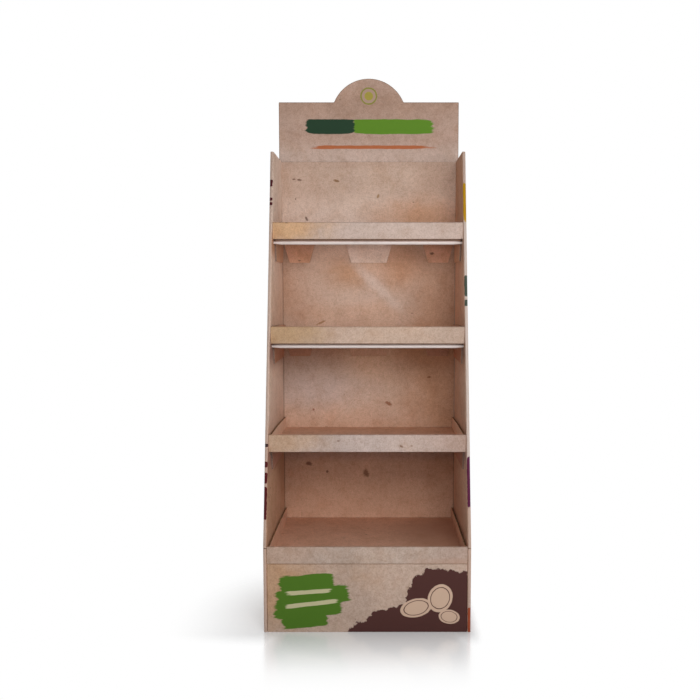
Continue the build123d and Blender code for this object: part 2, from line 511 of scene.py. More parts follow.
PARCHMENT_GRAIN: tuple[Layer, ...] = (
    Mottle(46, 0.45, 0.7, (0.91, 0.87, 0.83), 5, 0.6, (7.3, 2.2, 5.1)),
    Mottle(60, 0.5, 0.72, (1.06, 1.06, 1.07), 4, 0.55, (4.3, 9.2, 1.1)),
    Mottle(11, 0.42, 0.68, (0.9, 0.88, 0.86), 3, 0.7, (1.3, 8.2, 2.1)),
    Mottle(8, 0.46, 0.7, (1.09, 1.09, 1.1), 3, 0.7, (5.3, 4.2, 9.1)),
    Mottle(3.4, 0.44, 0.66, (0.86, 0.84, 0.82), 2, 0.6, (2.3, 6.2, 3.1)),
    Creases("8C6A50"),
    Flecks("6A4A34", 42, 3.0, 0.62, 0.6),
    Flecks("8A5B2C", 66, 4.2, 0.66, 0.5),
)


def fleck(colour: str, place_mm: Triple, half_mm: Triple, turn_deg: float = 0.0) -> InkField:
    """A fleck of fibre that is large enough to have its own place in the print.

    Args:
        colour: sRGB hex colour.
        place_mm: Its middle.
        half_mm: Its half sizes.
        turn_deg: Its turn in an upright panel that faces the front.

    Returns:
        The fleck.
    """
    ragged = {"edge": 0.8, "ragged_mm": 7, "blur": 0.45}
    return InkField(colour, place_mm, half_mm, (0, turn_deg, 0), share=0.75, **ragged)


@dataclass(frozen=True)
class Tooth:
    """Fine roughness of a surface, drawn as bump.

    Attributes:
        size_mm: Size of its grains.
        detail: Octaves of finer grains.
        roughness: Strength of the finer grains.
        strength: Strength of the bump.
        depth_mm: Depth of the grains.
    """

    size_mm: float
    detail: float
    roughness: float
    strength: float
    depth_mm: float

    def bump(self, tree: NodeTree, place: NodeSocket) -> NodeSocket:
        """Raise the grains.

        Args:
            tree: Node tree of the finish.
            place: Object coordinates.

        Returns:
            The roughened normal's socket.
        """
        noise = {"Scale": per_metre(self.size_mm), "Detail": self.detail, "Roughness": self.roughness}
        grains = add_node(tree, "TexNoise", {"Vector": place, **noise}).outputs["Fac"]
        depth = {"Strength": self.strength, "Distance": self.depth_mm * MM}
        return add_node(tree, "Bump", {"Height": grains, **depth}).outputs[0]


class Finish(ABC):
    """A real material: layers of colour over a ground, and a tooth where the surface has one."""

    roughness: ClassVar[float]
    sheen: ClassVar[float] = 0.5
    tooth: ClassVar[Tooth | None] = None
    name: str
    colour: str

    @abstractmethod
    def layers(self) -> tuple[Layer, ...]:
        """Layers over the ground colour, lowest first."""

    def build(self) -> Material:
        """Make the material.

        Returns:
            The material.
        """
        material, tree, place = new_material(self.name)
        colour = linear(self.colour)
        for layer in self.layers():
            colour = layer.lay(tree, place, colour)
        sockets = {"Base Color": colour, "Roughness": self.roughness, "Specular IOR Level": self.sheen}
        if self.tooth is not None:
            sockets["Normal"] = self.tooth.bump(tree, place)
        surface = add_node(tree, "BsdfPrincipled", sockets)
        add_node(tree, "OutputMaterial", {"Surface": surface.outputs[0]})
        return material


@dataclass(frozen=True)
class PrintedBoard(Finish):
    """Litho-printed paper laminated to corrugated board.

    Attributes:
        name: Name of the material.
        colour: Ground colour of the print.
        washes: Soft stains under the grain, lowest first.
        marks: Inks over the grain, lowest first.
    """

    # The eye gets a matt varnish with a weak sheen over a mottled print. A real paper's tooth is far under a
    # millimetre, too fine to show, so it is drawn coarser.
    roughness: ClassVar[float] = 0.6
    sheen: ClassVar[float] = 0.14
    tooth: ClassVar[Tooth] = Tooth(1.6, 2.0, 0.6, 0.06, 0.3)

    name: str
    colour: str
    washes: tuple[Layer, ...] = ()
    marks: tuple[Layer, ...] = ()

    def layers(self) -> tuple[Layer, ...]:
        """Parchment, washes, grain and marks."""
        return parchment(self.colour) + self.washes + PARCHMENT_GRAIN + self.marks


@dataclass(frozen=True)
class KraftLiner(Finish):
    """Unbleached kraft liner, machine made."""

    # The eye gets a brown, fibrous, matt sheet. Its fibres are drawn coarser than real ones, to show.
    roughness: ClassVar[float] = 0.85
    sheen: ClassVar[float] = 0.2
    tooth: ClassVar[Tooth] = Tooth(2.5, 4.0, 0.7, 0.2, 0.3)

    name: str = "kraft_liner"
    colour: str = "A17E58"
    dark: str = "856547"
    pale: str = "B8966E"

    def layers(self) -> tuple[Layer, ...]:
        """Soft clouds, with pale and dark fibres that run up the sheet.

        Returns:
            The layers, lowest first.
        """
        return (
            Clouds(self.dark, 26, 0.45, 0.75, 0.5, 5, 0.65),
            Clouds(self.pale, 5, 0.5, 0.8, 0.5, 3, 0.7, (2.0, 4.0, 6.0), (1.0, 1.0, 4.0)),
            Clouds(self.dark, 3, 0.55, 0.8, 0.6, 3, 0.7, (8.0, 1.0, 3.0), (1.0, 1.0, 5.0)),
        )


@dataclass(frozen=True)
class CutEdge(Finish):
    """Die-cut edge of corrugated board."""

    # The eye gets dusty brown paper, a little torn
    roughness: ClassVar[float] = 0.9
    sheen: ClassVar[float] = 0.15

    name: str = "cut_paper_edge"
    colour: str = "8C6A50"
    torn: str = "6A4D38"
    tear_mm: float = 5.0

    def layers(self) -> tuple[Layer, ...]:
        """Darker tears."""
        return (Clouds(self.torn, self.tear_mm, 0.42, 0.66, 0.7, 2, 0.5),)


@dataclass(frozen=True)
class PowderCoat(Finish):
    """White powder coat baked on steel tube."""

    # The eye gets a satin white with faint scuffs and a faint orange peel
    roughness: ClassVar[float] = 0.35
    tooth: ClassVar[Tooth] = Tooth(1.2, 2.0, 0.5, 0.08, 0.1)

    name: str = "white_powder_coat"
    colour: str = "DCD1CC"
    scuff: str = "C2B7B2"

    def layers(self) -> tuple[Layer, ...]:
        """Faint scuffs."""
        return (Clouds(self.scuff, 30, 0.5, 0.8, 0.6),)


def select_only(piece: Object) -> None:
    """Make a piece the only selected object and the active one.

    Args:
        piece: The piece to work on.
    """
    bpy.ops.object.select_all(action="DESELECT")
    piece.select_set(True)
    bpy.context.view_layer.objects.active = piece


def merged_copy(node_name: str) -> Object:
    """Copy a CAD solid as a piece of its own with joined faces, and let it stand for the solid.

    Args:
        node_name: Name of the CAD node.

    Returns:
        The new piece.
    """
    piece = bpy.data.objects.new(f"{node_name}_dressed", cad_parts[node_name].data.copy())
    bpy.context.scene.collection.objects.link(piece)
    select_only(piece)
    bpy.ops.object.mode_set(mode="EDIT")
    bpy.ops.mesh.select_all(action="SELECT")
    bpy.ops.mesh.remove_doubles(threshold=WELD_MM * MM)
    bpy.ops.mesh.dissolve_limited(angle_limit=FLAT_ANGLE)
    bpy.ops.object.mode_set(mode="OBJECT")
    piece.data.materials.clear()
    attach(piece, ROOT_BODY)
    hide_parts(node_name)
    return piece


def select_faces(piece: Object, kind: FaceKind) -> None:
    """Open a piece for editing with only its faces of one kind selected.

    Args:
        piece: The piece to work on.
        kind: Kind of face to select.
    """
    bpy.ops.object.mode_set(mode="EDIT")
    bpy.ops.mesh.select_mode(type="FACE")
    bpy.ops.mesh.select_all(action="DESELECT")
    bpy.ops.object.mode_set(mode="OBJECT")
    for face in piece.data.polygons:
        face.select = face.material_index == kind.value
    bpy.ops.object.mode_set(mode="EDIT")


def mark_selected(piece: Object, kind: FaceKind) -> None:
    """Leave edit mode and give the selected faces another kind.

    Args:
        piece: The piece to work on.
        kind: Their new kind.
    """
    bpy.ops.object.mode_set(mode="OBJECT")
    for face in piece.data.polygons:
        if face.select:
            face.material_index = kind.value
    bpy.ops.object.mode_set(mode="EDIT")


def sink_core(piece: Object) -> None:
    """Leave the two liners standing along a sheet's cut edges, and sink the core between them.

    Args:
        piece: The sheet, with its faces sorted.
    """
    select_faces(piece, FaceKind.CUT)
    bpy.ops.mesh.inset(thickness=LINER_MM * MM, depth=0.0, use_boundary=True, use_even_offset=True)
    mark_selected(piece, FaceKind.HOLLOW)
    bpy.ops.mesh.inset(thickness=CORE_SLOPE_MM * MM, depth=-CORE_DEPTH_MM * MM, use_even_offset=True)
    bpy.ops.object.mode_set(mode="OBJECT")


def scuff_rim(piece: Object, rim_mm: float) -> None:
    """Rub the print off along the outline of a sheet.

    Args:
        piece: The sheet, with its faces sorted.
        rim_mm: Width of the rubbed rim.
    """
    select_faces(piece, FaceKind.PRINTED)
    bpy.ops.mesh.inset(thickness=rim_mm * MM, depth=0.0, use_boundary=True, use_select_inset=True)
    mark_selected(piece, FaceKind.CUT)
    bpy.ops.mesh.select_all(action="SELECT")
    bpy.ops.mesh.remove_doubles(threshold=SEAM_MM * MM)
    bpy.ops.object.mode_set(mode="OBJECT")


def crush_edges(piece: Object, crush_mm: float) -> None:
    """Round a sheet's corners where a cut edge meets a face.

    Args:
        piece: The sheet, with its faces sorted.
        crush_mm: Width of the crushed corner.
    """
    kinds_at_edge: dict[tuple[int, int], set[int]] = {}
    for face in piece.data.polygons:
        for key in face.edge_keys:
            kinds_at_edge.setdefault(key, set()).add(face.material_index)
    bpy.ops.object.mode_set(mode="EDIT")
    bpy.ops.mesh.select_all(action="DESELECT")
    bpy.ops.mesh.select_mode(type="EDGE")
    bpy.ops.object.mode_set(mode="OBJECT")
    cut, hollow = FaceKind.CUT.value, FaceKind.HOLLOW.value
    for edge in piece.data.edges:
        kinds = kinds_at_edge.get(tuple(sorted(edge.vertices)), set())
        edge.select = len(kinds) > 1 and cut in kinds and hollow not in kinds
    bpy.ops.object.mode_set(mode="EDIT")
    bpy.ops.mesh.bevel(offset=crush_mm * MM, segments=2, affect="EDGES", material=cut)
    bpy.ops.object.mode_set(mode="OBJECT")


def dressed_sheet(
    node_name: str,
    finishes: dict[FaceKind, Material],
    sorter: FaceSorter,
    open_edges: bool = False,
    rim_mm: float = 0.0,
) -> None:
    """Dress one folded sheet: sort its faces, open and crush its cut edges and give each face its finish.

    Args:
        node_name: Name of the CAD node.
        finishes: Finish of each kind of face.
        sorter: Gives a face's kind from its centre and normal.
        open_edges: Whether the core shows between the liners.
        rim_mm: Width of a rubbed rim round the print.
    """
    piece = merged_copy(node_name)
    for kind in FaceKind:
        piece.data.materials.append(finishes[kind])
    for face in piece.data.polygons:
        face.material_index = sorter(face.center, face.normal).value
    if open_edges:
        sink_core(piece)
    crush_edges(piece, crush_mm=0.3)
    if rim_mm:
        scuff_rim(piece, rim_mm)
    bpy.ops.object.shade_smooth_by_angle(angle=SMOOTH_ANGLE)
    log.info("dressed %s: %d faces", piece.name, len(piece.data.polygons))


@dataclass
class Palette:
    """The finishes that several sheets share.

    Attributes:
        kraft: Bare liner.
        cut: Cut edge.
        hollow: Core between the liners of a cut edge, darker than the fluting paper as painted shade deep in
            the sunk core.
        pale_cut: Cut edge of the supports, dusted pale.
        shaded: Front edge of the supports and of their side flaps, darkened as painted shade where it lies
            deep under the lips.
        flute: Paper of the flutes.
    """

    kraft: Material
    cut: Material
    hollow: Material
    pale_cut: Material
    shaded: Material
    flute: Material

    def around(self, printed: Material) -> dict[FaceKind, Material]:
        """Finishes of a sheet with this print."""
        kinds = (FaceKind.PRINTED, FaceKind.BARE, FaceKind.CUT, FaceKind.HOLLOW)
        return dict(zip(kinds, (printed, self.kraft, self.cut, self.hollow)))


@dataclass
class Fluting:
    """The waves of the board's core along one cut edge, standing in the sunk core.

    Attributes:
        name: Name of the piece.
        paper: Its finish.
        points_mm: Points along the edge, with the outside of the edge above them.
        across: Direction across the board.
        pitch_mm: Length of one wave.
        steps: Faces along one wave.
        sheet_mm: Thickness of the fluted paper.
        top_mm: How far the waves stay below the edge.
        board_mm: Thickness of the board.
    """

    name: str
    paper: Material
    points_mm: list[Triple]
    across: Triple
    pitch_mm: float = 7.0
    steps: int = 8
    sheet_mm: float = 0.3
    top_mm: float = 0.15
    board_mm: float = BOARD_MM

    def build(self) -> None:
        """Lay a strip along the edge, bend it into waves and give it thickness."""
        points = [Vector(metres(p)) for p in self.points_mm]
        legs = [(b - a).length for a, b in zip(points, points[1:])]
        faces = math.ceil(sum(legs) / (self.pitch_mm * MM) * self.steps)
        bpy.ops.object.select_all(action="DESELECT")
        bpy.ops.mesh.primitive_grid_add(x_subdivisions=faces, y_subdivisions=1, size=1)
        piece = bpy.context.active_object
        piece.name = self.name
        for vertex in piece.data.vertices:
            vertex.co = self._bent(points, legs, (vertex.co.x + 0.5) * sum(legs), vertex.co.y < 0)
        solid = piece.modifiers.new("paper", "SOLIDIFY")
        solid.thickness = self.sheet_mm * MM
        solid.offset = 0
        bpy.ops.object.modifier_apply(modifier=solid.name)
        bpy.ops.object.shade_smooth_by_angle(angle=FLUTE_ANGLE)
        piece.data.materials.append(self.paper)
        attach(piece, ROOT_BODY)
        log.info("fluted %s: %d faces", piece.name, len(piece.data.polygons))

    def _bent(self, points: list[Vector], legs: list[float], along: float, low: bool) -> Vector:
        """Place one point of the strip.

        Args:
            points: Points along the edge.
            legs: Distances between them.
            along: Distance along the edge.
            low: Whether the point is on the strip's lower side.

        Returns:
            The point's place.
        """
        leg = 0
        start = 0.0
        while leg < len(legs) - 1 and along > start + legs[leg]:
            start += legs[leg]
            leg += 1
        tangent = (points[leg + 1] - points[leg]).normalized()
        outward = tangent.cross(Vector(self.across))
        swing = (self.board_mm / 2 - LINER_MM - self.sheet_mm / 2) * MM
        wave = swing * math.sin(along / (self.pitch_mm * MM) * 2 * math.pi)
        sunk = CORE_DEPTH_MM if low else self.top_mm
        return points[leg] + tangent * (along - start) + Vector(self.across) * wave - outward * sunk * MM


@dataclass
class Body:
    """The folded body and the header card behind its top.

    Attributes:
        palette: Finishes shared by the sheets.
        half_width_mm: Half the body's width.
        wall_mm: Thickness of a double side wall.
        board_mm: Thickness of the board.
        back_mm: Y of the back panel's rear.
        wall_top_mm: Height of the walls.
        split_mm: Height at which the hems are split and the walls start to lean.
        top_front_mm: Y of the walls' front edge at their top.
        header_top_mm: Height of the header's straight top.
        arch_rise_mm: Height of the arch above it.
        arch_radius_mm: Radius of the arch.
    """

    palette: Palette
    half_width_mm: float = 250.0
    wall_mm: float = 8.0
    board_mm: float = BOARD_MM
    back_mm: float = 195.75
    wall_top_mm: float = 1178.0
    split_mm: float = 207.0
    top_front_mm: float = 12.75
    header_top_mm: float = 1341.0
    arch_rise_mm: float = 64.0
    arch_radius_mm: float = 104.0

    def build(self) -> None:
        """Dress the body and the header."""
        washes = self._wall_washes() + self._back_stains()
        marks = self._back_flecks() + self._side_print()
        printed = PrintedBoard("printed_body_board", WALL_PAPER, washes, marks).build()
        dressed_sheet("body_wrap", self.palette.around(printed), self._wrap_face, open_edges=True)
        fade = {"edge": 0.2, "ragged_mm": 60, "blur": 0.8}
        # Painted light and shade on the header: a paler band just above the body's top, and a darker band
        # along the header's top.
        shaded = (
            InkField("D8C2B6", (0, 0, self.wall_top_mm + 8), (FAR, FAR, 34), share=0.6, **fade),
            InkField("A8856E", (0, 0, self.header_top_mm), (FAR, FAR, 36), share=0.4, **fade),
        )
        card = PrintedBoard("printed_header_board", "BD9F8F", shaded, self._header_print()).build()
        finishes = self.palette.around(card)
        dressed_sheet("header_card", finishes, self._card_face, open_edges=True, rim_mm=1.0)
        self._flutes()

    def _flutes(self) -> None:
        """Wave the core along the tops of the back panel, the walls and the header."""
        flute = self.palette.flute
        middle = self.back_mm - self.board_mm / 2
        end = self.half_width_mm - self.wall_mm
        top = self.wall_top_mm
        Fluting("back_panel_flutes", flute, [(-end, middle, top), (end, middle, top)], (0, 1, 0)).build()
        outer = self.half_width_mm - self.board_mm / 2
        inner = end + self.board_mm / 2
        short_mm = 1
        ends = (self.top_front_mm + self.wall_mm / 2, self.back_mm - self.board_mm - short_mm)
        for side, label in SIDES:
            for x, layer in ((outer, "outer"), (inner, "inner")):
                run = [(side * x, y, top) for y in ends]
                Fluting(f"{label}_{layer}_wall_flutes", flute, run, (-1, 0, 0)).build()
        Fluting("header_flutes", flute, self._header_outline(), (0, 1, 0)).build()

    def _header_outline(self) -> list[Triple]:
        """Points along the header's top and its arch.

        Returns:
            The points from left to right, in millimetres.
        """
        steps = 48
        short_mm = 3
        radius = self.arch_radius_mm
        middle = self.back_mm + self.board_mm / 2
        centre = self.header_top_mm + self.arch_rise_mm - radius
        start = math.asin((self.header_top_mm - centre) / radius)
        turns = [math.pi - start - (math.pi - 2 * start) * step / steps for step in range(steps + 1)]
        arch = [(radius * math.cos(t), middle, centre + radius * math.sin(t)) for t in turns]
        end = self.half_width_mm - short_mm
        return [(-end, middle, self.header_top_mm)] + arch + [(end, middle, self.header_top_mm)]

    def _wall_washes(self) -> tuple[Layer, ...]:
        """Broad washes of the print, each wall with its own, with painted light and shade among them: paler
        washes that lift walls where the light falls short, and darker bands as painted shade below each
        shelf.

        Returns:
            The washes, lowest first.
        """
        inner_mm = self.back_mm - self.board_mm
        corner_mm = self.half_width_mm - self.wall_mm
        soft = {"edge": 0.35, "ragged_mm": 70, "blur": 0.5}
        below = {"edge": 0.0, "blur": 0.8}
        # The dark bands under the panel's top edge and under the middle and lower shelves (BC9C8A, B88262,
        # 8C7A7C) are painted shade; the pale washes above and below the top tray and at the right corner
        # (F2DCCE, F2D2BC, F0D8C8) are painted light.
        # Colour, x, height, half sizes, strength and edge of each wash on the back panel
        back = [
            ("BE9070", 235, 640, (120, 60, 330), 0.7, soft),
            ("F2DCCE", 0, 1018, (FAR, 20, 50), 0.7, below),
            ("F0D8C8", 240, 1080, (28, 20, 110), 0.6, below),
            ("BC9C8A", 0, 1172, (FAR, 20, 14), 0.4, below),
            ("C09C86", 185, 1130, (55, 20, 44), 0.45, below),
            ("BF9981", -235, 850, (110, 60, 130), 0.8, soft),
            ("F2D2BC", -35, 915, (125, 20, 48), 0.9, soft),
            ("D2966A", 85, 900, (60, 20, 62), 0.55, below),
            ("D8A680", -20, 750, (160, 20, 36), 0.25, soft),
            ("B88262", 0, 664, (FAR, 60, 40), 0.95, below),
            ("EAC2A4", 8, 632, (75, 20, 58), 0.8, below),
            ("D09C78", 175, 655, (70, 20, 44), 0.6, below),
            ("8C7A7C", 0, 362, (FAR, 60, 20), 0.32, below),
        ]
        # On the inner side walls, the soft washes are painted light that sets each wall's tone, the left
        # wall palest, and those with the below edge are painted shade under each shelf.
        # Side, colour, height, half height, strength and edge of each wash on the inner side walls
        walls = [
            (-1, "F8E2D2", 1000, 300, 1.0, soft),
            (-1, "EFD2BC", 700, 200, 0.9, soft),
            (-1, "FFE8DA", 540, 80, 0.35, soft),
            (-1, "CEA486", 300, 160, 0.9, soft),
            (1, "E0BCA4", 300, 160, 0.9, soft),
            (1, "D0A082", 1080, 110, 0.9, soft),
            (1, "ECC4AA", 780, 200, 0.95, soft),
            (1, "FADCC6", 540, 80, 0.35, soft),
            (-1, "C8946E", 938, 26, 0.9, below),
            (-1, "9A7268", 672, 38, 0.9, below),
            (-1, "A0776D", 410, 32, 0.8, below),
            (1, "BC9A84", 934, 32, 0.85, below),
            (1, "A28472", 674, 34, 0.85, below),
            (1, "C4A59A", 414, 26, 0.8, below),
        ]
        lowest = InkField("D2A68B", (0, 0, 270), (FAR, FAR, 215), share=0.9, **soft)
        on_back = tuple(
            InkField(ink, (x, inner_mm, z), half, share=share, facing=AHEAD, **edge)
            for ink, x, z, half, share, edge in back
        )
        on_walls = tuple(
            InkField(
                ink, (side * corner_mm, 60, z), (12, 400, half_z), share=share, facing=(-side, 0, 0), **edge
            )
            for side, ink, z, half_z, share, edge in walls
        )
        return (lowest,) + on_back + on_walls

    def _wrap_face(self, centre: Vector, normal: Vector) -> FaceKind:
        """Sort a face of the body: cut top and bottom edges, bare rear, printed elsewhere.

        Args:
            centre: Middle of the face.
            normal: Its normal.

        Returns:
            The face's kind.
        """
        ends = (0.0, self.split_mm, self.wall_top_mm)
        if abs(normal.z) > SQUARE_ON and min(abs(centre.z / MM - end) for end in ends) < self.board_mm:
            return FaceKind.CUT
        if normal.y > ROUNDED_ON and centre.y > (self.back_mm - self.board_mm) * MM:
            return FaceKind.BARE
        return FaceKind.PRINTED

    def _card_face(self, centre: Vector, normal: Vector) -> FaceKind:
        """Sort a face of the header: printed front, bare rear, cut outline.

        Args:
            centre: Middle of the face.
            normal: Its normal.

        Returns:
            The face's kind.
        """
        if abs(normal.y) < SQUARE_ON:
            return FaceKind.CUT
        return FaceKind.BARE if normal.y > 0 else FaceKind.PRINTED

    def _back_stains(self) -> tuple[Layer, ...]:
        """Soft stains and a pale streak of the back panel.

        Returns:
            The stains, lowest first.
        """
        inner_mm = self.back_mm - self.board_mm
        depth_mm = 20
        faint = {"edge": 0.4, "ragged_mm": 40, "blur": 0.85}
        # Colour, x, height, half width, half height, turn and strength
        stains = [
            ("CC8C54", 150, 1026, 115, 46, 0, 0.6),
            ("BD8350", -72, 868, 60, 38, 0, 0.6),
            ("E6D2C6", 8, 848, 12, 76, -44, 0.6),
            ("E0CABC", 60, 800, 12, 46, -44, 0.45),
            ("D4BDAE", -130, 838, 80, 46, 30, 0.5),
            ("BC8C6A", 150, 600, 110, 100, 0, 0.45),
            ("C2A899", -190, 590, 80, 90, 0, 0.5),
            ("BE9C88", -100, 600, 70, 60, 0, 0.35),
            ("C6B4AE", -150, 540, 120, 44, 0, 0.6),
        ]
        return tuple(
            InkField(ink, (x, inner_mm, z), (half_x, depth_mm, half_z), (0, turn, 0), share=share, **faint)
            for ink, x, z, half_x, half_z, turn, share in stains
        )

    def _back_flecks(self) -> tuple[Layer, ...]:
        """Larger flecks of the back panel, and painted shade lines down its two inner corners.

        Returns:
            The marks, lowest first.
        """
        inner_mm = self.back_mm - self.board_mm
        depth_mm = 5
        # Colour, x, height, half width, half height and turn
        flecks = [
            ("7A521E", -90, 1126, 8, 3.2, 15),
            ("5A3A2A", -193, 1129, 5.5, 2.6, 10),
            ("6A4632", -209, 1130, 4, 2.4, 0),
            ("96703E", 26, 1084, 3, 6, 20),
            ("5E4030", -174, 1021, 3, 6, -25),
            ("9A7048", -136, 731, 13, 2.4, -25),
            ("8A4E2A", 56, 501, 9.5, 5, 25),
            ("8A4A38", -157, 484, 3, 3, 0),
            ("7A5038", 170, 577, 5, 3, 0),
            ("6E4222", -8, 300, 7.5, 10, -25),
            ("5E3C2A", -120, 305, 3, 4, 20),
            ("6A4028", -172, 328, 9, 5, 15),
        ]
        dark = tuple(
            fleck(ink, (x, inner_mm, z), (half_x, depth_mm, half_z), turn)
            for ink, x, z, half_x, half_z, turn in flecks
        )
        corner_mm = self.half_width_mm - self.wall_mm
        thin = {"edge": 0.2, "blur": 0.3, "share": 0.5, "shape": InkShape.BAR}
        # Painted shade: thin dark lines down the corners where the side walls meet the back panel.
        corner_shade_lines = tuple(
            InkField("6B4A38", (x, inner_mm, 465), (1.6, 6, 480), **thin) for x in (-corner_mm, corner_mm)
        )
        return dark + corner_shade_lines

    def _side_print(self) -> tuple[Layer, ...]:
        """Ink fields of the two outer sides, each reaching round the front hem.

        Returns:
            The fields, lowest first.
        """
        hem = {"edge": 0.0, "shape": InkShape.BAR, "facing": AHEAD}
        pale_hems = (
            InkField("B79F92", (0, -100, 600), (300, 265, 800), share=0.85, **hem),
            InkField("C7B8AF", (250, -60, 700), (9, 300, 330), blur=0.1, share=0.9, **hem),
        )
        deep_mm = 7.6
        brushed = {"edge": 0.16, "ragged_mm": 12, "shape": InkShape.BAR}
        # Side, colour, y, height, half length and half height
        fields = [
            (-1, "4E1214", -70, 311, 125, 40),
            (-1, "4E1214", -70, 370, 125, 13),
            (-1, "4E1214", -70, 402, 125, 7),
            (-1, "4A1A1E", 40, 1096, 60, 9),
            (-1, "4A1A1E", 5, 1055, 34, 4),
            (-1, "4A1A1E", 3, 1043, 34, 4),
            (-1, "3A2422", -140, 447, 9, 4),
            (1, "B5880F", 70, 1046, 110, 50),
            (1, "424A40", 10, 835, 100, 26),
            (1, "424A40", 10, 793, 100, 8),
            (1, "561A3C", -75, 360, 120, 59),
            (1, "9A4A2E", -110, 30, 110, 32),
        ]
        return pale_hems + tuple(
            InkField(ink, (side * self.half_width_mm, y, z), (deep_mm, half_y, half_z), **brushed)
            for side, ink, y, z, half_y, half_z in fields
        )

    def _header_print(self) -> tuple[Layer, ...]:
        """Two-tone brush stroke with a thin orange stroke below, and a plain sun in the arch.

        Returns:
            The fields, lowest first.
        """
        broad = {"edge": 0.22, "ragged_mm": 7, "blur": 0.04, "shape": InkShape.BAR, "stretch": 9}
        thin = {"edge": 0.5, "ragged_mm": 8, "blur": 0.1, "share": 0.9, "shape": InkShape.BAR, "stretch": 9}
        strokes = (
            InkField("5F8A24", (66, 0, 1275), (112, FAR, 20), **broad),
            InkField("1F3A26", (-106, 0, 1275), (66, FAR, 20), **broad),
            InkField("B5602F", (0, 0, 1219), (150, FAR, 5), **thin),
        )
        rings = (("8C8A3C", 24), ("B49684", 20), ("A89A46", 12))
        return strokes + tuple(
            InkField(ink, (0, 0, 1358), (radius, FAR, radius), edge=0.08, ragged_mm=10)
            for ink, radius in rings
        )


@dataclass(frozen=True)
class LipStain:
    """One stain on a tray's lip.

    Attributes:
        colour: sRGB hex colour.
        x_mm: Where along the lip it lies.
        share: Its strength.
        reach_mm: Half its length.
    """

    colour: str
    x_mm: float
    share: float
    reach_mm: float = 125.0


